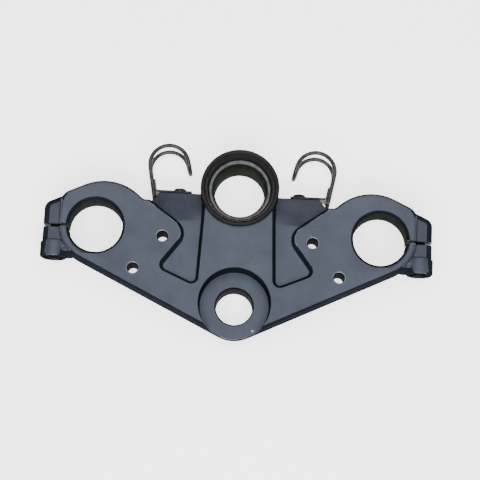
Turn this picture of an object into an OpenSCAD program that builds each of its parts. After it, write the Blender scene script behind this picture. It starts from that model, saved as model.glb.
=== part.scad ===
/* [Layout] */
// Distance between the two fork tube axes
fork_spacing = 216; // [206:1:226]
// Distance that the fork axes lie in front of the stem axis
fork_offset = 55; // [50:1:60]
// Distance from the stem axis to the lock collar axis
collar_offset = 89.2; // [86:0.2:94]

/* [Heights above the table] */
// Flat top of the arms and of the centre rib
top_z = 34; // [32:0.5:37]
// Underside of the arms
arm_bottom_z = 14; // [12:0.5:15]
// Lower face of the two fork clamps
clamp_bottom_z = 11; // [8:0.5:11]
// Sunk face that the stem nut sits on
stem_face_z = 20; // [19:0.5:22]
// Floor of the two lower pockets
pocket_z = 28.5; // [27:0.5:30]
// Top of the lock collar above the arms
collar_rise = 4; // [2:0.5:6]

/* [Fork clamps] */
// Diameter of the fork tubes
fork_d = 41; // [38:0.5:43]
// Wall of the clamp round the tube
clamp_wall = 7.2; // [6:0.2:8]
// Chamfer at the top of the clamp bore
clamp_chamfer = 1.9; // [1:0.1:2.5]
// Radius of the broad front lobe of each arm
lobe_r = 37.5; // [36:0.5:40]
// Width of the pinch slit
slit_w = 1.75; // [1:0.25:3]
// Distance of the slit behind the fork axis
slit_back = 1; // [0:0.25:2]
// Distance from the fork axis out to the pinch bolt
pinch_out = 31; // [30:0.5:33]
// Radius of the round pinch ears
ear_r = 9; // [8.5:0.25:9.5]
// Drop from the arm's top to the top of the ears
ear_drop = 3; // [2:0.25:4]
// Reach of the rear ear behind the fork axis
ear_rear = 24.5; // [22:0.5:26]
// Length of the thicker boss round the bolt head
head_boss_len = 12.5; // [11:0.5:14]
// Radius of that boss
head_boss_r = 10.5; // [10:0.25:11.5]

/* [Stem boss] */
// Diameter of the stem bore
stem_d = 28; // [25:0.5:30]
// Outer radius of the stem boss at the rear tip
stem_boss_r = 25.6; // [24.5:0.2:26.6]
// Inward lean of the recess wall from top to floor
recess_lean = 1; // [0.6:0.1:2]

/* [Lock collar] */
// Outer radius of the collar
collar_r = 30; // [29:0.25:31]
// Width of the flat rim
collar_rim = 3.4; // [2.5:0.1:4]
// Depth of the ledge that the lock sits on
ledge_depth = 9.5; // [7:0.5:11]
// Outer radius of the ledge
ledge_r = 23.6; // [23:0.1:24.5]
// Radius of the bore below the ledge
lock_bore_r = 21; // [20.4:0.1:21.6]
// Length of that bore down to the lip
lock_bore_len = 6.5; // [5:0.5:9]
// Radius of the narrower bore at the bottom
lip_bore_r = 19.3; // [18.6:0.1:19.8]

/* [Rib and pockets] */
// Half width of the centre rib at the collar
rib_half_front = 26.8; // [25.5:0.1:27.6]
// Half width of the rib at the stem recess
rib_half_rear = 29.3; // [28.6:0.1:30]
// Distance from the stem axis where the pocket floor starts to slope
ramp_start = 63.8; // [60:0.2:68]
// Width of the leaning pocket wall, seen from above
pocket_wall = 2.4; // [1.2:0.1:3]
// Downward slope of the pocket floor toward the front edge
ramp_angle = 20.5; // [16:0.5:22]
// Front edge of the plate beside the collar, from the stem axis
front_edge = 87.2; // [84:0.2:88]

/* [Cast finish] */
// Radius of the cast top edges
edge_r = 2.5; // [1.5:0.25:2.75]
// Draft of the cast walls
draft = 9; // [5:1:12]

/* [Accessory holes] */
// Diameter of the four through holes
hole_d = 8; // [7:0.5:9]
// Spacing of the front pair
front_pair = 114; // [112:0.5:116]
// Distance of the front pair in front of the stem axis
front_pair_y = 49; // [47:0.5:51]
// Spacing of the rear pair
rear_pair = 155.8; // [152:0.2:160]
// Distance of the rear pair in front of the stem axis
rear_pair_y = 23.2; // [22:0.2:25]

/* [Cable guides] */
// Wire diameter
wire_d = 3.2; // [2.6:0.1:3.6]
// Height between the two runs of the wire
wire_gap = 18; // [14:0.5:20]
// Radius of the hook, to the middle of the wire
hook_r = 14.8; // [13:0.2:16]
// Length of the straight leg
leg_len = 22.9; // [19:0.1:25]
// Outward lean of the leg
leg_lean = 10.6; // [6:0.2:13]
// Arc of the hook
hook_arc = 175.6; // [160:0.2:190]
// Distance that the right guide is set further out in its slot than the left one
right_shift = 2.4; // [0:0.2:3]
// Thickness of the steel tab
tab_t = 1.5; // [1:0.1:1.8]
// Distance of the guide bolt from the centre plane
guide_bolt_x = 46; // [44:0.5:48]
// Height of the guide bolt
guide_bolt_z = 13; // [12:0.25:13.5]

/* [Bolts] */
// Thread diameter of the pinch bolts
pinch_d = 8; // [6:0.5:8]
// Shank length of the pinch bolts
pinch_len = 32; // [28:1:34]
// Thread diameter of the guide bolts
guide_d = 6; // [5:0.5:6]
// Shank length of the guide bolts
guide_len = 14; // [10:1:16]

/* [Hidden] */
$fn = 96;
over = 1;
// Radial clearance between a thread and its tapped hole
thread_gap = 0.05;
// Largest turn between two points of an outline, on broad and on small corners
broad_step = 7.5;
small_step = 18;
broad_from = 15;

fork_x = fork_spacing / 2;
fork_r = fork_d / 2;
clamp_r = fork_r + clamp_wall;
stem_r = stem_d / 2;
// The recess floor is a little wider than the boss, so it runs out over the rear tip
recess_floor_r = stem_boss_r + 0.8;
recess_r = recess_floor_r + recess_lean;
hole_r = hole_d / 2;
wire_r = wire_d / 2;
pinch_r = pinch_d / 2;
guide_r = guide_d / 2;

// The rear edges are the common tangents of the stem boss and the clamps
axis_dist = norm([fork_x, fork_offset]);
vee_angle = atan2(fork_offset, fork_x) - asin((clamp_r - stem_boss_r) / axis_dist);
tip_y = -stem_boss_r / cos(vee_angle);
clamp_out_x = fork_x + clamp_r;

// The broad front lobe of an arm lies a little inboard of the fork axis
lobe_c = [fork_x - 6, fork_offset - 1.8];
lobe_out_slope = 25;
lobe_in_slope = 40;
lobe_mid = 90 + (lobe_in_slope - lobe_out_slope) / 2;
lobe_half = (lobe_in_slope + lobe_out_slope) / 2;
lobe_tip = lobe_c + lobe_r / cos(lobe_half) * [cos(lobe_mid), sin(lobe_mid)];
function lobe_out_y(x) = lobe_tip[1] - tan(lobe_out_slope) * (x - lobe_tip[0]);
function lobe_in_y(x) = lobe_tip[1] - tan(lobe_in_slope) * (lobe_tip[0] - x);

// Outer shoulder of the plate beside the collar, and the valley next to it
shoulder_x = 61.5;
valley_x = 70;

// Arrow-shaped pocket: its point on the arm, its waist and its front mouth
pocket_tail = [rib_half_rear, 12.3];
pocket_point = [59.2, 25.4];
pocket_waist = [37.6, 54.5];
mouth_x = 78;
mouth_slope = 36.3;
mouth_y = pocket_waist[1] + tan(mouth_slope) * (mouth_x - pocket_waist[0]);
pocket_front_y = front_edge + 12;
pocket_deep_z = arm_bottom_z + 3;

ear_x = fork_x + pinch_out + ear_r;
ear_top_z = top_z - ear_drop;
pinch_x = fork_x + pinch_out;
pinch_z = (top_z + clamp_bottom_z) / 2;
slit_y = fork_offset - slit_back;
ear_rear_y = fork_offset - ear_rear;
collar_top_z = top_z + collar_rise;
ledge_z = collar_top_z - ledge_depth;

pinch_head_r = 0.81 * pinch_d;
pinch_head_h = pinch_d;
head_sink = pinch_head_h + 1;
head_gap = 0.75;
pinch_seat_y = ear_rear_y + head_sink;
pinch_hole_end = pinch_seat_y + pinch_len + 1.5;

guide_pad = 0.4;
guide_face_y = front_edge + guide_pad;
guide_boss_r = 6.5;
guide_boss_len = guide_len + 5;
guide_head_r = 0.88 * guide_d;
guide_head_h = 0.46 * guide_d;
leg_dir = 90 - leg_lean;
tab_out_x = shoulder_x + 2;
slot_half = max(right_shift, 1.5);
tab_in_x = guide_bolt_x - guide_head_r - slot_half - 1.5;
tab_h = 13;
flange_len = 9;
weld_sink = 0.35;

// Corners of closed outlines are [x, y, radius], counterclockwise
function unit(v) = v / norm(v);
function left_of(v) = [-v[1], v[0]];
function flat(c) = [c[0], c[1]];
function before(c, i) = flat(c[(i + len(c) - 1) % len(c)]);
function after(c, i) = flat(c[(i + 1) % len(c)]);
function dir_in(c, i) = unit(flat(c[i]) - before(c, i));
function dir_out(c, i) = unit(after(c, i) - flat(c[i]));
function turn(c, i) =
    let (a = dir_in(c, i), b = dir_out(c, i))
    atan2(a[0] * b[1] - a[1] * b[0], a * b);

// The same outline with each edge moved inward by d
function inset(c, d) = [
    for (i = [0:len(c) - 1])
        let (
            a = left_of(dir_in(c, i)),
            b = left_of(dir_out(c, i)),
            p = flat(c[i]) + d * (a + b) / (1 + a * b)
        )
        [p[0], p[1], max(0.05, c[i][2] - sign(turn(c, i)) * d)]
];

// Points of corner i: an arc with as many steps as its turn needs
function corner_arc(c, i, steps) =
    let (
        t = turn(c, i),
        s = sign(t),
        a = dir_in(c, i),
        r = c[i][2],
        start = flat(c[i]) - a * r * tan(abs(t) / 2),
        centre = start + s * r * left_of(a),
        from = atan2(a[1], a[0]) - s * 90
    )
    [for (k = [0:steps]) centre + r * [cos(from + t * k / steps), sin(from + t * k / steps)]];

function arc_steps(c, i) = ceil(abs(turn(c, i)) / (c[i][2] < broad_from ? small_step : broad_step));

function ring(c, d) =
    let (moved = inset(c, d))
    [for (i = [0:len(c) - 1]) each corner_arc(moved, i, arc_steps(c, i))];

// The mean of the corners, a point from which a convex outline is seen whole
function middle(c) = [for (p = c) 1] * c / len(c);

// Solid through rings of one outline, each [inset, height], from the bottom up.
// Both ends are filled round the hub, which must see the whole outline
module stack(c, levels, hub) {
    rings = [for (l = levels) [for (p = ring(c, l[0])) [p[0], p[1], l[1]]]];
    n = len(rings[0]);
    m = len(rings);
    sides = [
        for (j = [0:m - 2], i = [0:n - 1])
            let (k = (i + 1) % n)
            each [
                [j * n + i, (j + 1) * n + i, (j + 1) * n + k],
                [j * n + i, (j + 1) * n + k, j * n + k]
            ]
    ];
    ends = [
        for (i = [0:n - 1])
            let (k = (i + 1) % n)
            each [[i, k, m * n], [(m - 1) * n + k, (m - 1) * n + i, m * n + 1]]
    ];
    hubs = [for (l = [levels[0], levels[m - 1]]) [hub[0], hub[1], l[1]]];
    polyhedron(concat([for (r = rings) each r], hubs), concat(sides, ends));
}

// Levels of a slab with a rounded top edge
function slab_levels(z0, z1, r) = concat(
    [[0, z0]],
    [for (a = [0:30:90]) [r * (1 - cos(a)), z1 - r * (1 - sin(a))]]
);

// Levels of a cutter from a narrow end to the open face at z1, where it has its true outline
function cut_levels(z0, z1) =
    let (s = z1 > z0 ? 1 : -1)
    [[abs(z1 - z0) * tan(draft), z0], [-over * tan(draft), z1 + s * over]];

module both_sides() {
    children();
    mirror([1, 0, 0]) children();
}

function mirrored(half) = concat(half, [for (i = [len(half) - 1:-1:0]) [-half[i][0], half[i][1], half[i][2]]]);

plate_half = [
    [clamp_out_x, tip_y + tan(vee_angle) * clamp_out_x, clamp_r],
    [clamp_out_x, lobe_out_y(clamp_out_x), 10],
    [lobe_tip[0], lobe_tip[1], lobe_r],
    [valley_x, lobe_in_y(valley_x), 5],
    [shoulder_x, front_edge, 3]
];
plate_outline = concat([[0, tip_y, stem_boss_r]], mirrored(plate_half));

ear_outline = [
    [fork_x + fork_r - 4, ear_rear_y + 2, 2],
    [ear_x, ear_rear_y + 2, 4],
    [ear_x, lobe_out_y(ear_x) - 0.8, 7],
    [fork_x + fork_r - 4, lobe_out_y(fork_x + fork_r - 4) - 0.8, 3]
];

pocket_outline = [
    [pocket_tail[0], pocket_tail[1], 4.5],
    [pocket_point[0], pocket_point[1], 4.5],
    [pocket_waist[0], pocket_waist[1], 11],
    [mouth_x, mouth_y, 4],
    [mouth_x, pocket_front_y, 4],
    [rib_half_front - 1.2, pocket_front_y, 4]
];

arm_hollow = [
    [31, -1, 4],
    [66, 15.5, 5],
    [64, 30, 4],
    [45, 42, 4],
    [31, 42, 4]
];
rib_hollow = [
    [-21, 33, 5],
    [21, 33, 5],
    [19, 54, 5],
    [-19, 54, 5]
];

module plate() {
    stack(plate_outline, slab_levels(arm_bottom_z, top_z, edge_r), [0, 0]);
}

// Everything above the pocket floor, which slopes down toward the front
module above_pocket_floor() {
    run = pocket_front_y + 10 - ramp_start;
    rotate([90, 0, 90])
        linear_extrude(2 * fork_x, center = true)
            polygon([
                [0, pocket_z],
                [ramp_start, pocket_z],
                [ramp_start + run, pocket_z - run * tan(ramp_angle)],
                [ramp_start + run, top_z + 20],
                [0, top_z + 20]
            ]);
}

// The pocket wall leans down to the floor, and drops steeply below it where the floor slopes
module pocket_cut() {
    half = pocket_wall / 2;
    lean = pocket_wall / (top_z - pocket_z);
    levels = [
        [half + (pocket_z - pocket_deep_z) * tan(draft), pocket_deep_z],
        [half, pocket_z],
        [-half - over * lean, top_z + over]
    ];
    intersection() {
        stack(pocket_outline, levels, pocket_waist - [6, 3]);
        above_pocket_floor();
    }
}

module hollow_cut(outline, ceiling) {
    levels = cut_levels(ceiling, arm_bottom_z);
    stack(outline, [levels[1], levels[0]], middle(outline));
}

module ear() {
    ear_edge = 4.5;
    stack(ear_outline, slab_levels(pinch_z - ear_r, ear_top_z, ear_edge), middle(ear_outline));
    translate([pinch_x, ear_rear_y, pinch_z])
        rotate([-90, 0, 0])
            rotate_extrude()
                polygon([
                    [0, 0],
                    [head_boss_r - 1.2, 0],
                    [head_boss_r, 1.2],
                    [head_boss_r, head_boss_len - 1],
                    [head_boss_r - 1, head_boss_len],
                    [0, head_boss_len]
                ]);
}

module clamp_foot() {
    translate([fork_x, fork_offset, clamp_bottom_z])
        cylinder(h = arm_bottom_z + 3 - clamp_bottom_z, r = clamp_r - 2);
}

module collar() {
    top_round = 1.5;
    foot_r = collar_r - 3;
    translate([0, collar_offset, 0])
        rotate_extrude()
            polygon(concat(
                [[0, 0], [foot_r - 1, 0], [foot_r, 1], [foot_r, arm_bottom_z - 3], [collar_r, arm_bottom_z]],
                [for (a = [0:15:90]) [
                    collar_r - top_round * (1 - cos(a)),
                    collar_top_z - top_round * (1 - sin(a))
                ]],
                [[0, collar_top_z]]
            ));
}

// Lock seat: leaning mouth, flat ledge, bore and the narrower lip below
module collar_cut() {
    mouth_r = collar_r - collar_rim;
    lip_z = ledge_z - lock_bore_len;
    translate([0, collar_offset, 0])
        rotate_extrude()
            polygon([
                [0, -over],
                [lip_bore_r + 1 + over, -over],
                [lip_bore_r, 1],
                [lip_bore_r, lip_z],
                [lock_bore_r, lip_z],
                [lock_bore_r, ledge_z - 0.6],
                [lock_bore_r + 0.6, ledge_z],
                [ledge_r, ledge_z],
                [mouth_r, collar_top_z - 1],
                [mouth_r + 1 + over, collar_top_z + over],
                [0, collar_top_z + over]
            ]);
}

module stem_boss() {
    foot_r = stem_boss_r - 3;
    rotate_extrude()
        polygon([[0, 0], [foot_r - 1, 0], [foot_r, 1], [foot_r, arm_bottom_z + 1], [0, arm_bottom_z + 1]]);
}

// Round recess over the stem boss, open at the rear tip
module recess_cut() {
    wall_h = top_z - stem_face_z;
    top_r = recess_r + over * recess_lean / wall_h;
    translate([0, 0, stem_face_z])
        cylinder(h = wall_h + over, r1 = recess_floor_r, r2 = top_r);
}

module stem_cut() {
    translate([0, 0, -over])
        cylinder(h = top_z, r = stem_r);
    translate([0, 0, stem_face_z - 1])
        cylinder(h = 1 + over, r1 = stem_r, r2 = stem_r + 1 + over);
}

module clamp_cut() {
    translate([fork_x, fork_offset, 0]) {
        translate([0, 0, clamp_bottom_z - over])
            cylinder(h = top_z, r = fork_r);
        translate([0, 0, top_z - clamp_chamfer])
            cylinder(h = clamp_chamfer + over, r1 = fork_r, r2 = fork_r + clamp_chamfer + over);
        translate([0, 0, clamp_bottom_z - over])
            cylinder(h = 1 + over, r1 = fork_r + 1 + over, r2 = fork_r);
    }
    translate([fork_x, slit_y - slit_w / 2, clamp_bottom_z - over])
        cube([pinch_out + 2 * ear_r, slit_w, top_z]);
}

// Pinch bolt way: counterbore, clearance hole in the rear ear, tapped front ear
module pinch_cut() {
    translate([pinch_x, ear_rear_y - over, pinch_z])
        rotate([-90, 0, 0]) {
            cylinder(h = head_sink + over, r = pinch_head_r + head_gap);
            cylinder(h = slit_y - ear_rear_y + over, r = pinch_r + 0.5);
            cylinder(h = pinch_hole_end - ear_rear_y + over, r = pinch_r + thread_gap);
        }
}

module through_hole(x, y) {
    bevel = 0.8;
    translate([x, y, arm_bottom_z - over])
        cylinder(h = top_z, r = hole_r);
    translate([x, y, top_z - bevel])
        cylinder(h = bevel + over, r1 = hole_r, r2 = hole_r + bevel + over);
}

module guide_boss() {
    translate([guide_bolt_x, guide_face_y, guide_bolt_z])
        rotate([90, 0, 0])
            cylinder(h = guide_boss_len, r = guide_boss_r);
}

module guide_tap() {
    translate([guide_bolt_x, guide_face_y + over, guide_bolt_z])
        rotate([90, 0, 0])
            cylinder(h = guide_len + 2, r = guide_r + thread_gap);
}

module crown() {
    color("#5b5f6b")
    difference() {
        union() {
            difference() {
                plate();
                both_sides() {
                    pocket_cut();
                    hollow_cut(arm_hollow, 21);
                }
                hollow_cut(rib_hollow, 25);
            }
            collar();
            stem_boss();
            both_sides() {
                ear();
                clamp_foot();
                guide_boss();
            }
        }
        collar_cut();
        recess_cut();
        stem_cut();
        both_sides() {
            clamp_cut();
            pinch_cut();
            guide_tap();
            through_hole(front_pair / 2, front_pair_y);
            through_hole(rear_pair / 2, rear_pair_y);
        }
    }
}

// Cable guide: a hairpin of wire on an angled and slotted steel tab
hook_from = -leg_lean;
hook_to = hook_from + hook_arc;
flange_base = [tab_out_x, guide_face_y];
leg_side = tab_t + wire_r - weld_sink;
leg_back = 3;
leg_start = flange_base
    + leg_side * [sin(leg_dir), -cos(leg_dir)]
    - leg_back * [cos(leg_dir), sin(leg_dir)];
leg_end = leg_start + leg_len * [cos(leg_dir), sin(leg_dir)];
hook_c = leg_end - hook_r * [cos(hook_from), sin(hook_from)];
hook_end = hook_c + hook_r * [cos(hook_to), sin(hook_to)];
low_z = guide_bolt_z - wire_gap / 2;
high_z = guide_bolt_z + wire_gap / 2;
hook_steps = 15;
tip_steps = 10;
wire_sides = 12;

// A station of the wire is [point, heading, pitch]
function run(z, pitch) = concat(
    [[[leg_start[0], leg_start[1], z], leg_dir, pitch]],
    [
        for (k = [0:hook_steps])
            let (a = hook_from + hook_arc * k / hook_steps)
            [[hook_c[0] + hook_r * cos(a), hook_c[1] + hook_r * sin(a), z], a + 90, pitch]
    ]
);
function tip_bend() = [
    for (k = [1:tip_steps - 1])
        let (
            p = 180 * k / tip_steps,
            out = wire_gap / 2 * sin(p),
            heading = hook_to + 90
        )
        [
            [
                hook_end[0] + out * cos(heading),
                hook_end[1] + out * sin(heading),
                guide_bolt_z - wire_gap / 2 * cos(p)
            ],
            heading,
            p
        ]
];
function reversed(v) = [for (i = [len(v) - 1:-1:0]) v[i]];
function wire_ring(station) =
    let (
        a = station[1],
        p = station[2],
        side = [-sin(a), cos(a), 0],
        up = [-sin(p) * cos(a), -sin(p) * sin(a), cos(p)]
    )
    [
        for (k = [0:wire_sides - 1])
            let (t = 360 * k / wire_sides)
            station[0] + wire_r * (cos(t) * side + sin(t) * up)
    ];

// The wire swept along its two runs and the bend that joins them at the tip
module wire() {
    stations = concat(run(low_z, 0), tip_bend(), reversed(run(high_z, 180)));
    n = wire_sides;
    m = len(stations);
    sides = [
        for (j = [0:m - 2], i = [0:n - 1])
            let (k = (i + 1) % n)
            each [
                [j * n + i, (j + 1) * n + i, (j + 1) * n + k],
                [j * n + i, (j + 1) * n + k, j * n + k]
            ]
    ];
    start_cap = [for (i = [0:n - 1]) i];
    end_cap = [for (i = [n - 1:-1:0]) (m - 1) * n + i];
    polyhedron([for (s = stations) each wire_ring(s)], concat(sides, [start_cap, end_cap]));
}

// Slot that lets the tab be set sideways on its bolt
module tab_slot() {
    slot_r = guide_r + 0.3;
    translate([guide_bolt_x, guide_face_y - over, guide_bolt_z])
        rotate([-90, 0, 0]) {
            for (x = [-slot_half, slot_half])
                translate([x, 0, 0])
                    cylinder(h = tab_t + 2 * over, r = slot_r);
            translate([-slot_half, -slot_r, 0])
                cube([2 * slot_half, 2 * slot_r, tab_t + 2 * over]);
        }
}

module guide() {
    wire();
    difference() {
        translate([tab_in_x, guide_face_y, guide_bolt_z - tab_h / 2])
            cube([tab_out_x + tab_t - tab_in_x, tab_t, tab_h]);
        tab_slot();
    }
    flange_h = wire_gap + wire_d;
    translate([flange_base[0], flange_base[1], guide_bolt_z - flange_h / 2])
        rotate([0, 0, -leg_lean])
            cube([tab_t, flange_len, flange_h]);
}

module guide_bolt() {
    dome = 0.35 * guide_head_h;
    socket_r = 0.385 * guide_d;
    translate([guide_bolt_x, guide_face_y + tab_t, guide_bolt_z])
        rotate([-90, 0, 0])
            difference() {
                rotate_extrude()
                    polygon([
                        [0, -guide_len],
                        [guide_r - 0.6, -guide_len],
                        [guide_r, 0.6 - guide_len],
                        [guide_r, 0],
                        [guide_head_r, 0],
                        [guide_head_r, dome],
                        [guide_head_r - dome, guide_head_h - 0.3],
                        [guide_head_r - 2 * dome, guide_head_h],
                        [0, guide_head_h]
                    ]);
                translate([0, 0, 0.4 * guide_head_h])
                    cylinder(h = guide_head_h, r = socket_r, $fn = 6);
            }
}

module pinch_bolt() {
    socket_r = 0.43 * pinch_d;
    translate([pinch_x, pinch_seat_y, pinch_z])
        rotate([-90, 0, 0])
            difference() {
                rotate_extrude()
                    polygon([
                        [0, -pinch_head_h],
                        [pinch_head_r - 0.6, -pinch_head_h],
                        [pinch_head_r, 0.6 - pinch_head_h],
                        [pinch_head_r, 0],
                        [pinch_r, 0],
                        [pinch_r, pinch_len - 0.8],
                        [pinch_r - 0.8, pinch_len],
                        [0, pinch_len]
                    ]);
                translate([0, 0, -pinch_head_h - over])
                    cylinder(h = pinch_head_h / 2 + over, r = socket_r, $fn = 6);
            }
}

module guide_right() {
    color("#7a766d") translate([right_shift, 0, 0]) guide();
}

module guide_left() {
    color("#7a766d") mirror([1, 0, 0]) guide();
}

module guide_bolt_right() {
    color("#33343a") guide_bolt();
}

module guide_bolt_left() {
    color("#33343a") mirror([1, 0, 0]) guide_bolt();
}

module pinch_bolt_right() {
    color("#33343a") pinch_bolt();
}

module pinch_bolt_left() {
    color("#33343a") mirror([1, 0, 0]) pinch_bolt();
}

crown();
guide_left();
guide_right();
guide_bolt_left();
guide_bolt_right();
pinch_bolt_left();
pinch_bolt_right();
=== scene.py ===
import math

import bpy
from mathutils import Matrix, Vector


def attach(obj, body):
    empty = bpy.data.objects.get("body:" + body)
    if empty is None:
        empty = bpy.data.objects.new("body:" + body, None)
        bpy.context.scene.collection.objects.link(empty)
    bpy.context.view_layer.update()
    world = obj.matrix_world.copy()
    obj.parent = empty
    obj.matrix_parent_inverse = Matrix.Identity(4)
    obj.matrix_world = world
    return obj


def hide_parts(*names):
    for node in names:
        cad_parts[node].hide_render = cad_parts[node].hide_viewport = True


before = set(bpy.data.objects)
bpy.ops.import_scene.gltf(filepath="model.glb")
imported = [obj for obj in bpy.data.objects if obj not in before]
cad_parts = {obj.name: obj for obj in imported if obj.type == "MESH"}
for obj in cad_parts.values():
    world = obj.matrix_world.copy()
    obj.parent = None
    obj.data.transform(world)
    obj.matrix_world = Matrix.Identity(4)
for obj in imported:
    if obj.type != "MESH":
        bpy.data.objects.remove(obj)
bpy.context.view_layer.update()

# The crown, one aluminium sand casting: two split fork clamps, a centre rib with the
# round recess of the stem, the lock collar in front and two sunk arrow-shaped pockets.
# It is painted slate, satin above and matt on its walls, then bored, faced and drilled;
# the walls' darker paint is painted shade.
top_z = 0.034
stem_r = 0.014
# A fork clamp: its bore, the width of the ring round it and half the width of its slit.
fork_x = 0.108
fork_y = 0.055
fork_r = 0.0205
clamp_ring = 0.003
slit_half = 0.0011
# An ear beside a clamp: where it starts, its top, and the ends of the step above it.
ear_x = 0.131
ear_y = 0.0402
ear_top_z = 0.031
step_x = 0.126
ear_front = 0.074
# The drilled holes of one arm and the width of their bright rims.
hole_places = [(0.057, 0.049), (0.0779, 0.0232)]
hole_r = 0.004
hole_rim = 0.0012
# The lock collar: its axis, the reach of its black paint, and the ledge inside it.
collar_y = 0.0892
collar_outside = 0.0312
collar_inside = 0.0285
ledge_z = 0.0285
ledge_r = 0.0236
ledge_half = 0.0009
# The rolled edges of the casting, and how sharp an edge has to be to get one.
cast_edge = 0.00045
cast_angle = math.radians(50)


def feed(tree, socket, value):
    """Joins another socket to this one, or sets it to a number or a colour."""
    if isinstance(value, bpy.types.NodeSocket):
        tree.links.new(value, socket)
    elif socket.type == "RGBA":
        socket.default_value = (*value, 1.0)
    else:
        socket.default_value = value


def calculate(tree, operation, *values):
    """What a Math node makes of sockets and numbers."""
    node = tree.nodes.new("ShaderNodeMath")
    node.operation = operation
    for socket, value in zip(node.inputs, values):
        feed(tree, socket, value)
    return node.outputs[0]


def spread(tree, value, start, end, low=0.0, high=1.0):
    """The value's range from start to end, stretched to run from low to high."""
    node = tree.nodes.new("ShaderNodeMapRange")
    for name, given in (("Value", value), ("From Min", start), ("From Max", end),
                        ("To Min", low), ("To Max", high)):
        feed(tree, node.inputs[name], given)
    return node.outputs["Result"]


def own_place(tree):
    """The piece's own coordinates, which every pattern here reads."""
    return tree.nodes.new("ShaderNodeTexCoord").outputs["Object"]


def noise(tree, scale, detail=2.0, roughness=0.5):
    """A cloudy grey pattern."""
    node = tree.nodes.new("ShaderNodeTexNoise")
    for name, value in (("Vector", own_place(tree)), ("Scale", scale), ("Detail", detail),
                        ("Roughness", roughness)):
        feed(tree, node.inputs[name], value)
    return node.outputs["Fac"]


def new_group(name, inputs, outputs):
    """An empty node group, with the nodes that hold its inputs and its outputs."""
    group = bpy.data.node_groups.new(name, "ShaderNodeTree")
    for label, value in inputs.items():
        kind = "NodeSocketVector" if isinstance(value, tuple) else "NodeSocketFloat"
        socket = group.interface.new_socket(name=label, in_out="INPUT", socket_type=kind)
        socket.default_value = value
    for label in outputs:
        group.interface.new_socket(name=label, in_out="OUTPUT",
                                   socket_type="NodeSocketFloat")
    return group, group.nodes.new("NodeGroupInput"), group.nodes.new("NodeGroupOutput")


# How much the broad unevenness adds to the height, and where most heights then lie.
broad_share = 0.6
grain_heights = (0.4, 1.2)


def cast_grain_group():
    """Height and tone of a sand-cast skin: fine grain on a broad unevenness."""
    group, given, result = new_group(
        "cast grain", {"Scale": 900.0, "Broad Scale": 55.0}, ("Height", "Tone"))
    fine = noise(group, given.outputs["Scale"], detail=4.0, roughness=0.6)
    broad = noise(group, given.outputs["Broad Scale"], detail=3.0)
    height = calculate(group, "MULTIPLY_ADD", broad, broad_share, fine)
    feed(group, result.inputs["Height"], height)
    feed(group, result.inputs["Tone"], broad)
    return group


# The scale of the patches that the flecks gather in.
fleck_patches = 38.0


def fleck_group():
    """A mask of small scattered flecks, for dust on paint and stains on steel."""
    group, given, result = new_group(
        "flecks", {"Scale": 300.0, "Size": 0.12, "Share": 0.5}, ("Mask",))
    cells = group.nodes.new("ShaderNodeTexVoronoi")
    feed(group, cells.inputs["Vector"], own_place(group))
    feed(group, cells.inputs["Scale"], given.outputs["Scale"])
    small = calculate(group, "LESS_THAN",
                      cells.outputs["Distance"], given.outputs["Size"])
    patch = noise(group, fleck_patches)
    chosen = calculate(group, "GREATER_THAN", patch, given.outputs["Share"])
    feed(group, result.inputs["Mask"], calculate(group, "MULTIPLY", small, chosen))
    return group


# The mark on the rolled faces, and the noise at which their wear starts and is full.
edge_mark = "edge"
wear_gaps = (0.42, 0.62)


def edge_wear_group():
    """A mask of rubbed outer edges: what mark_edges marks, broken up by noise."""
    group, given, result = new_group("edge wear", {"Breakup Scale": 160.0}, ("Mask",))
    mark = group.nodes.new("ShaderNodeAttribute")
    mark.attribute_name = edge_mark
    broken = noise(group, given.outputs["Breakup Scale"], detail=5.0)
    worn = spread(group, broken, *wear_gaps)
    rubbed = calculate(group, "MULTIPLY", mark.outputs["Fac"], worn)
    feed(group, result.inputs["Mask"], rubbed)
    return group


# The scale of a chip's ragged outline, and the most that it takes off the radius.
chip_grain = 1400.0
chip_ragged = 0.003


def chip_group():
    """A mask of one ragged chip in the paint, at a place and of a radius in metres."""
    group, given, result = new_group(
        "chip", {"Place": (0.0, 0.0, 0.0), "Radius": 0.001}, ("Mask",))
    away = group.nodes.new("ShaderNodeVectorMath")
    away.operation = "DISTANCE"
    feed(group, away.inputs[0], own_place(group))
    feed(group, away.inputs[1], given.outputs["Place"])
    ragged = calculate(group, "MULTIPLY_ADD", noise(group, chip_grain), chip_ragged,
                       away.outputs["Value"])
    within = calculate(group, "LESS_THAN", ragged, given.outputs["Radius"])
    feed(group, result.inputs["Mask"], within)
    return group


cast_grain = cast_grain_group()
flecks = fleck_group()
edge_wear = edge_wear_group()
chip = chip_group()


def place_group(tree, group, **values):
    """A node of a shared group, with this material's own values."""
    node = tree.nodes.new("ShaderNodeGroup")
    node.node_tree = group
    for name, value in values.items():
        node.inputs[name.replace("_", " ")].default_value = value
    return node


# A Mix node's two colour inputs and its colour output, by their places in its lists.
mix_below, mix_above, mix_colour = 6, 7, 2


def blend_colours(tree, mask, below, above):
    """The colour below where the mask is 0, and the one above where it is 1."""
    mix = tree.nodes.new("ShaderNodeMix")
    mix.data_type = "RGBA"
    feed(tree, mix.inputs["Factor"], mask)
    feed(tree, mix.inputs[mix_below], below)
    feed(tree, mix.inputs[mix_above], above)
    return mix.outputs[mix_colour]


def mottle(tree, grain, tones, dark, light):
    """Dark to light with the broad unevenness of the grain."""
    return blend_colours(tree, spread(tree, grain.outputs["Tone"], *tones), dark, light)


def new_finish(name, even):
    """A material with its shader, and the values that are even all over it."""
    material = bpy.data.materials.new(name)
    material.use_nodes = True
    tree = material.node_tree
    shader = tree.nodes["Principled BSDF"]
    for label, value in even.items():
        feed(tree, shader.inputs[label], value)
    return material, tree, shader


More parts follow.
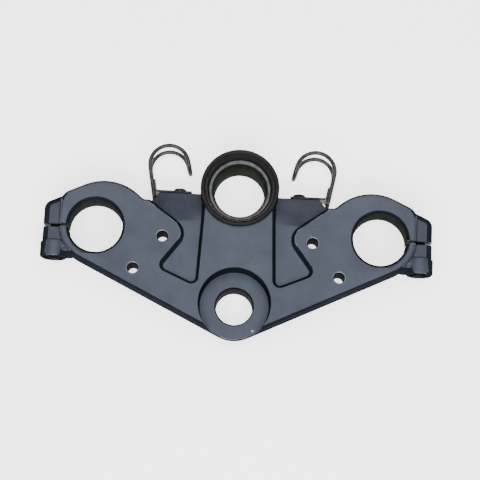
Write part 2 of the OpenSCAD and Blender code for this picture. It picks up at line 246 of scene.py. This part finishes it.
def add_relief(tree, shader, grain, strength, depth):
    """Lets the grain stand out of the surface, so that it catches the light."""
    relief = tree.nodes.new("ShaderNodeBump")
    feed(tree, relief.inputs["Strength"], strength)
    feed(tree, relief.inputs["Distance"], depth)
    feed(tree, relief.inputs["Height"], grain.outputs["Height"])
    feed(tree, shader.inputs["Normal"], relief.outputs["Normal"])


# Slate paint: the tint of its sheen, how much rougher its roughest spots are, its dust,
# and what shows on rubbed edges and in the one chip beside the stem bore.
slate_tint = (0.74, 0.82, 1.0)
slate_rougher = 0.07
dust_lightness = 1.5
rubbed_slate = (0.13, 0.14, 0.16)
chip_metal = (0.26, 0.27, 0.29)
chip_place = (0.0147, -0.0182, 0.020)
chip_radius = 0.0025
# Where the grain's tone runs from dark paint to light, and its bump's strength and depth.
paint_tones = (0.3, 0.7)
paint_relief = (0.35, 0.00025)


def slate_paint(name, index, gloss, dark, light, smoothest):
    """Slate paint on the cast skin, with dust specks and its edges a little rubbed."""
    material, tree, shader = new_finish(
        name, {"IOR": index, "Specular IOR Level": gloss, "Specular Tint": slate_tint})
    grain = place_group(tree, cast_grain, Scale=1300.0, Broad_Scale=45.0)
    specks = place_group(tree, flecks, Scale=420.0, Size=0.14, Share=0.58)
    worn = place_group(tree, edge_wear, Breakup_Scale=170.0)
    bare = place_group(tree, chip, Place=chip_place, Radius=chip_radius)
    paint = mottle(tree, grain, paint_tones, dark, light)
    dust = tuple(dust_lightness * value for value in light)
    dusty = blend_colours(tree, specks.outputs["Mask"], paint, dust)
    rubbed = blend_colours(tree, worn.outputs["Mask"], dusty, rubbed_slate)
    chipped = blend_colours(tree, bare.outputs["Mask"], rubbed, chip_metal)
    feed(tree, shader.inputs["Base Color"], chipped)
    rough = spread(tree, grain.outputs["Tone"], *paint_tones,
                   smoothest, smoothest + slate_rougher)
    feed(tree, shader.inputs["Roughness"], rough)
    add_relief(tree, shader, grain, *paint_relief)
    return material


def collar_black():
    """The same paint on the lock collar, blackened by grease and handling."""
    material, tree, shader = new_finish(
        "blackened collar paint",
        {"Specular IOR Level": 0.14, "Specular Tint": (0.90, 0.88, 1.0)})
    grain = place_group(tree, cast_grain, Scale=1300.0, Broad_Scale=90.0)
    worn = place_group(tree, edge_wear, Breakup_Scale=220.0)
    paint = mottle(tree, grain, paint_tones,
                   dark=(0.0065, 0.0065, 0.007), light=(0.0135, 0.013, 0.0135))
    rubbed = blend_colours(tree, worn.outputs["Mask"], paint, (0.09, 0.09, 0.095))
    feed(tree, shader.inputs["Base Color"], rubbed)
    rough = spread(tree, grain.outputs["Tone"], *paint_tones, low=0.50, high=0.60)
    feed(tree, shader.inputs["Roughness"], rough)
    add_relief(tree, shader, grain, *paint_relief)
    return material


# Where the grain's tone runs from dark metal to light.
metal_tones = (0.35, 0.65)


def cut_metal(name, even, fine, broad, dark, light, rough, relief=None):
    """Bored, faced or drilled aluminium, bare of paint."""
    material, tree, shader = new_finish(name, even)
    grain = place_group(tree, cast_grain, Scale=fine, Broad_Scale=broad)
    feed(tree, shader.inputs["Base Color"], mottle(tree, grain, metal_tones, dark, light))
    patchy = spread(tree, grain.outputs["Height"], *grain_heights, *rough)
    feed(tree, shader.inputs["Roughness"], patchy)
    if relief:
        add_relief(tree, shader, grain, *relief)
    return material


satin_paint = slate_paint("satin slate paint", index=1.5, gloss=0.31, smoothest=0.37,
                          dark=(0.0230, 0.0265, 0.0375), light=(0.0405, 0.0455, 0.0605))
ear_paint = slate_paint("dulled slate paint", index=1.5, gloss=0.20, smoothest=0.40,
                        dark=(0.0220, 0.0250, 0.0325), light=(0.0375, 0.0410, 0.0515))
# The walls' paint, darker than the top's: painted shade on faces steep enough to lie in
# shade.
shaded_wall_paint = slate_paint("matt slate paint, painted shade", index=1.15, gloss=0.003, smoothest=0.60,
                         dark=(0.0070, 0.0086, 0.0120), light=(0.0116, 0.0140, 0.0188))
collar_paint = collar_black()
# The bores of the forks and the lock, gone greenish brown with grease and time.
aged_bore = cut_metal("aged bore", {"Specular IOR Level": 0.003}, fine=500.0, broad=120.0,
                      dark=(0.008, 0.0115, 0.008), light=(0.017, 0.022, 0.0165),
                      rough=(0.60, 0.75), relief=(0.15, 0.0001))
# The rims of the drilled holes, bare and bright, and the sawn walls of the slits, bare
# metal whose light colour is also painted light in the slits' shade.
bright_cut_and_slit_light = cut_metal("cut aluminium and painted slit light", {"Metallic": 1.0}, fine=700.0, broad=200.0,
                       dark=(0.09, 0.094, 0.10), light=(0.20, 0.206, 0.215),
                       rough=(0.25, 0.42), relief=(0.1, 0.00008))
# The ledge that the lock sits on, faced and gone grey.
lock_seat = cut_metal("dull lock seat", {"Metallic": 0.9}, fine=600.0, broad=180.0,
                      dark=(0.043, 0.044, 0.044), light=(0.078, 0.079, 0.080),
                      rough=(0.35, 0.5), relief=(0.1, 0.00008))
# The stem bore and the drilled holes, near black: grease in the grain, and painted shade
# deep inside them.
greasy_and_shaded_bore = cut_metal("greasy bore with painted shade", {"Specular IOR Level": 0.003}, fine=500.0,
                        broad=120.0, dark=(0.003, 0.0035, 0.005),
                        light=(0.008, 0.009, 0.012), rough=(0.4, 0.6))


def pick_up(piece):
    """Selects one piece and nothing else."""
    bpy.ops.object.select_all(action="DESELECT")
    bpy.context.view_layer.objects.active = piece
    piece.select_set(True)


# Points closer than this are one point, and faces that meet flatter than this one flat.
merge_gap = 0.00005
flat_angle = math.radians(0.5)


def merged_copy(node, name):
    """A node's mesh as a new piece, with doubles merged and flats in even triangles."""
    piece = bpy.data.objects.new(name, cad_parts[node].data.copy())
    bpy.context.scene.collection.objects.link(piece)
    pick_up(piece)
    piece.data.materials.clear()
    bpy.ops.object.mode_set(mode="EDIT")
    bpy.ops.mesh.select_mode(type="FACE")
    bpy.ops.mesh.select_all(action="SELECT")
    bpy.ops.mesh.remove_doubles(threshold=merge_gap)
    bpy.ops.mesh.dissolve_limited(angle_limit=flat_angle)
    bpy.ops.mesh.quads_convert_to_tris(quad_method="BEAUTY", ngon_method="BEAUTY")
    bpy.ops.object.mode_set(mode="OBJECT")
    return piece


# How far a neighbour may rise above a face that still stands out.
level_gap = 0.000002


def mark_edges(piece, rolled):
    """Marks the rolled faces that stand out, not those in corners, for the edge wear."""
    faces = piece.data.polygons
    sharing = {}
    for face in faces:
        for key in face.edge_keys:
            sharing.setdefault(key, []).append(face)
    mark = piece.data.attributes.new(edge_mark, "FLOAT", "FACE")
    for index in rolled:
        face = faces[index]
        others = [other for key in face.edge_keys for other in sharing[key]
                  if other.index != index]
        stands_out = all((other.center - face.center).dot(face.normal) < level_gap
                         for other in others)
        mark.data[index].value = float(stands_out)


# Faces across a rolled edge, the gap at which they collapse, and where shading breaks.
roll_steps = 2
collapse_gap = 0.000001
smooth_angle = math.radians(38)


def soften_edges(piece, width, angle):
    """Rolls the edges sharper than the angle over, and shades what is left smooth."""
    pick_up(piece)
    roll = piece.modifiers.new("rolled edges", "BEVEL")
    roll.width = width
    roll.segments = roll_steps
    roll.limit_method = "ANGLE"
    roll.angle_limit = angle
    roll.use_clamp_overlap = False
    spare = len(piece.data.materials)
    piece.data.materials.append(piece.data.materials[0])
    roll.material = spare
    bpy.ops.object.shade_smooth_by_angle(angle=angle)
    bpy.ops.object.modifier_apply(modifier=roll.name)
    bpy.ops.object.mode_set(mode="EDIT")
    bpy.ops.mesh.select_all(action="SELECT")
    bpy.ops.mesh.remove_doubles(threshold=collapse_gap)
    bpy.ops.object.mode_set(mode="OBJECT")
    rolled = [face.index for face in piece.data.polygons if face.material_index == spare]
    piece.data.materials.pop(index=spare)
    for face in piece.data.polygons:
        face.material_index = 0
    bpy.ops.object.shade_smooth_by_angle(angle=smooth_angle)
    level = piece.modifiers.new("level flats", "WEIGHTED_NORMAL")
    level.mode = "FACE_AREA"
    level.weight = 100
    level.keep_sharp = True
    bpy.ops.object.modifier_apply(modifier=level.name)
    mark_edges(piece, rolled)


def finish_faces(piece, finish, wanted):
    """Gives a finish to the faces whose centre and normal pass the test."""
    for face in piece.data.polygons:
        face.select = wanted(face.center, face.normal)
    bpy.ops.object.mode_set(mode="EDIT")
    piece.active_material_index = piece.data.materials.find(finish.name)
    bpy.ops.object.material_slot_assign()
    bpy.ops.object.mode_set(mode="OBJECT")


# How far the tests below reach past a size, and the part of a face's normal that makes
# it count as a wall, a bore, a sawn face or a rim.
lap = 0.0002
fork_lap = 0.0003
stem_lap = 0.0008
collar_lap = 0.0005
# Faces steeper than these get the darker wall paint, which is painted shade.
steep = 0.85
ear_steep = 0.985
upright = 0.5
stem_upright = 0.9
slit_square = 0.9
rim_level = 0.95


def from_axis(point, x, y):
    """How far a point is from the upright axis at x, y or its mirror image at -x, y."""
    return math.hypot(abs(point.x) - x, point.y - y)


def on_ear_top(centre, normal):
    """The level top of an ear, a step lower than the clamp."""
    return normal.z > steep and abs(centre.x) > step_x and centre.z < ear_top_z + lap


def on_wall(centre, normal):
    """A steep face, on the ears a gentler one too, but not the step above an ear; these
    get the darker wall paint, which is painted shade.
    """
    out = abs(centre.x)
    limit = ear_steep if out > ear_x and centre.y > ear_y else steep
    on_step = (out > step_x and centre.y < ear_front and centre.z > ear_top_z + lap
               and from_axis(centre, fork_x, fork_y) > fork_r + clamp_ring)
    return abs(normal.z) < limit and not on_step


def on_slit(centre, normal):
    """The two sawn faces of a slit."""
    return (abs(centre.x) > fork_x + fork_r and abs(centre.y - fork_y) < slit_half
            and abs(normal.y) > slit_square)


def on_fork_bore(centre, normal):
    """The inside of a fork clamp."""
    return (from_axis(centre, fork_x, fork_y) < fork_r + fork_lap
            and abs(normal.z) < upright)


def on_stem_bore(centre, normal):
    """The inside of the stem boss, with its chamfers."""
    return (from_axis(centre, 0, 0) < stem_r + stem_lap
            and abs(normal.z) < stem_upright)


def on_hole(centre, normal):
    """The inside of a drilled hole."""
    return abs(normal.z) < upright and any(
        from_axis(centre, x, y) < hole_r + lap for x, y in hole_places)


def on_hole_rim(centre, normal):
    """The chamfer round the top of a drilled hole."""
    return normal.z < rim_level and centre.z > top_z - hole_rim and any(
        from_axis(centre, x, y) < hole_r + hole_rim for x, y in hole_places)


def on_collar(centre, normal):
    """The collar above the crown's top, and its inside down to the ledge."""
    away = from_axis(centre, 0, collar_y)
    above_top = centre.z > top_z + collar_lap and away < collar_outside
    return above_top or (centre.z > ledge_z + collar_lap and away < collar_inside)


def on_lock_bore(centre, normal):
    """The lower bore of the lock, below the ledge."""
    return from_axis(centre, 0, collar_y) < ledge_r - lap and centre.z < ledge_z


def on_ledge(centre, normal):
    """The ledge that the lock sits on."""
    return (from_axis(centre, 0, collar_y) < ledge_r + lap
            and abs(centre.z - ledge_z) < ledge_half)


crown = merged_copy("crown", "crown_casting")
for finish in (satin_paint, aged_bore, bright_cut_and_slit_light, collar_paint, lock_seat, greasy_and_shaded_bore,
               shaded_wall_paint, ear_paint):
    crown.data.materials.append(finish)
soften_edges(crown, cast_edge, cast_angle)
finish_faces(crown, ear_paint, on_ear_top)
# Painted shade: the steep walls, and the rolled outer band of each ear, get the darker
# paint.
finish_faces(crown, shaded_wall_paint, on_wall)
# The slit walls get the bright metal: bare sawn metal, and painted light in the deep
# slit.
finish_faces(crown, bright_cut_and_slit_light, on_slit)
finish_faces(crown, aged_bore, on_fork_bore)
# Grease and painted shade: the walls of the drilled holes are made near black.
finish_faces(crown, greasy_and_shaded_bore, on_hole)
finish_faces(crown, bright_cut_and_slit_light, on_hole_rim)
# Grease and painted shade: the stem bore is made near black too.
finish_faces(crown, greasy_and_shaded_bore, on_stem_bore)
finish_faces(crown, collar_paint, on_collar)
finish_faces(crown, aged_bore, on_lock_bore)
finish_faces(crown, lock_seat, on_ledge)
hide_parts("crown")
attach(crown, "root")

# The cable guides, one on each side of the collar: a hairpin of steel wire hooked back
# toward it, welded to a small bent tab. The wire's blackening has worn to a dull warm
# grey, and the tab is made near black. One bolt holds each tab on the front face of the
# casting.
guide_edge = 0.0003
guide_angle = math.radians(42)
tab_front = 0.0893
# Where the grain's tone runs from dark steel to light.
steel_tones = (0.4, 0.62)


def worn_steel(name, dark, light):
    """Dull grey steel with traces of its blackening left."""
    material, tree, shader = new_finish(name, {"Metallic": 0.8})
    grain = place_group(tree, cast_grain, Scale=900.0, Broad_Scale=260.0)
    spots = place_group(tree, flecks, Scale=600.0, Size=0.16, Share=0.55)
    metal = mottle(tree, grain, steel_tones, dark, light)
    stained = blend_colours(tree, spots.outputs["Mask"], metal, dark)
    feed(tree, shader.inputs["Base Color"], stained)
    rough = spread(tree, grain.outputs["Height"], *grain_heights, low=0.35, high=0.52)
    feed(tree, shader.inputs["Roughness"], rough)
    add_relief(tree, shader, grain, strength=0.15, depth=0.0001)
    return material


wire_finish = worn_steel("worn guide wire",
                         dark=(0.024, 0.023, 0.021), light=(0.050, 0.048, 0.045))
tab_finish = worn_steel("near-black guide tab",
                        dark=(0.007, 0.008, 0.007), light=(0.018, 0.020, 0.018))
for side in ("left", "right"):
    guide = merged_copy("guide_" + side, "cable_guide_" + side)
    guide.data.materials.append(wire_finish)
    guide.data.materials.append(tab_finish)
    soften_edges(guide, guide_edge, guide_angle)
    finish_faces(guide, tab_finish, lambda centre, normal: centre.y < tab_front)
    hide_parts("guide_" + side)
    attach(guide, "root")

# The bolts: a button head bolt through each guide tab, and a socket head bolt sunk in
# each rear ear that closes the split fork clamp. All four are black oxide steel.
bolt_edge = 0.00025
bolt_angle = math.radians(30)


def black_oxide():
    """Black oxide on turned steel, rubbed a little brighter on the edges."""
    material, tree, shader = new_finish(
        "black oxide steel", {"Metallic": 1.0, "Specular Tint": (0.12, 0.12, 0.13)})
    grain = place_group(tree, cast_grain, Scale=1500.0, Broad_Scale=300.0)
    worn = place_group(tree, edge_wear, Breakup_Scale=400.0)
    steel = mottle(tree, grain, steel_tones,
                   dark=(0.013, 0.013, 0.015), light=(0.030, 0.029, 0.032))
    rubbed = blend_colours(tree, worn.outputs["Mask"], steel, (0.12, 0.12, 0.126))
    feed(tree, shader.inputs["Base Color"], rubbed)
    rough = spread(tree, grain.outputs["Height"], *grain_heights, low=0.40, high=0.55)
    feed(tree, shader.inputs["Roughness"], rough)
    add_relief(tree, shader, grain, strength=0.1, depth=0.00006)
    return material


bolt_finish = black_oxide()
for node in ("guide_bolt_left", "guide_bolt_right",
             "pinch_bolt_left", "pinch_bolt_right"):
    bolt = merged_copy(node, node + "_turned")
    bolt.data.materials.append(bolt_finish)
    soften_edges(bolt, bolt_edge, bolt_angle)
    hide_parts(node)
    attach(bolt, "root")

# The pale table that the part stands on: a light table, one sheet of milky glass that
# glows evenly from below. Its white shows through the bores and the drilled holes.
table_size = 6.0
table_glow = 2.3


def milky_glass():
    """Glowing white glass with a faint broad unevenness."""
    material, tree, shader = new_finish(
        "pale table", {"Emission Strength": table_glow, "Roughness": 0.7})
    grain = place_group(tree, cast_grain, Scale=40.0, Broad_Scale=2.0)
    pale = mottle(tree, grain, paint_tones,
                  dark=(0.90, 0.90, 0.90), light=(0.92, 0.92, 0.92))
    feed(tree, shader.inputs["Base Color"], pale)
    feed(tree, shader.inputs["Emission Color"], pale)
    return material


bpy.ops.object.select_all(action="DESELECT")
bpy.ops.mesh.primitive_plane_add(size=table_size, location=(0, 0, 0))
table = bpy.context.object
table.name = "table"
table.data.materials.append(milky_glass())

# The camera looks steeply down from the rider's side, turned and rolled as it was for the
# photograph. A large soft box in front gives the tops their sheen, a smaller one behind
# lights the walls that face the camera, and a weak cool fill stands for the room.
look_down = math.radians(76)
look_round = math.radians(0.86)
roll = math.radians(3.69)
distance = 1.350
target = Vector((0.001942, 0.04976, 0.030))
lens = 133.5
lit_spot = Vector((0, 0.05, 0))
fill_light = 0.2
fill_colour = (0.95, 0.97, 1.0, 1.0)


def aim_camera():
    """Stands the camera off from its target along the line of sight, and rolls it."""
    along = Vector((math.sin(look_round) * math.cos(look_down),
                    math.cos(look_round) * math.cos(look_down), -math.sin(look_down)))
    level = Vector((math.cos(look_round), -math.sin(look_round), 0))
    above = level.cross(along)
    right = math.cos(roll) * level + math.sin(roll) * above
    up = -math.sin(roll) * level + math.cos(roll) * above
    camera = bpy.data.objects.new("camera", bpy.data.cameras.new("camera"))
    camera.data.lens = lens
    camera.data.sensor_width = 36.0
    camera.data.clip_start = 0.05
    bpy.context.scene.collection.objects.link(camera)
    turned = Matrix((right, up, -along)).transposed()
    camera.matrix_world = Matrix.Translation(target - distance * along) @ turned.to_4x4()
    bpy.context.scene.camera = camera


def soft_box(name, place, size, power):
    """An even rectangle of light that faces the part."""
    lamp = bpy.data.lights.new(name, "AREA")
    lamp.shape = "RECTANGLE"
    lamp.size, lamp.size_y = size
    lamp.energy = power
    light = bpy.data.objects.new(name, lamp)
    light.location = place
    light.rotation_mode = "QUATERNION"
    light.rotation_quaternion = (lit_spot - Vector(place)).to_track_quat("-Z", "Y")
    bpy.context.scene.collection.objects.link(light)


aim_camera()
soft_box("front box", place=(0.0, 0.48, 1.85), size=(2.4, 1.2), power=41.0)
soft_box("rear box", place=(0.0, -1.1, 1.5), size=(1.6, 0.8), power=55.0)
room = bpy.data.worlds.new("soft fill")
room.use_nodes = True
fill = room.node_tree.nodes["Background"]
fill.inputs["Color"].default_value = fill_colour
fill.inputs["Strength"].default_value = fill_light
bpy.context.scene.world = room
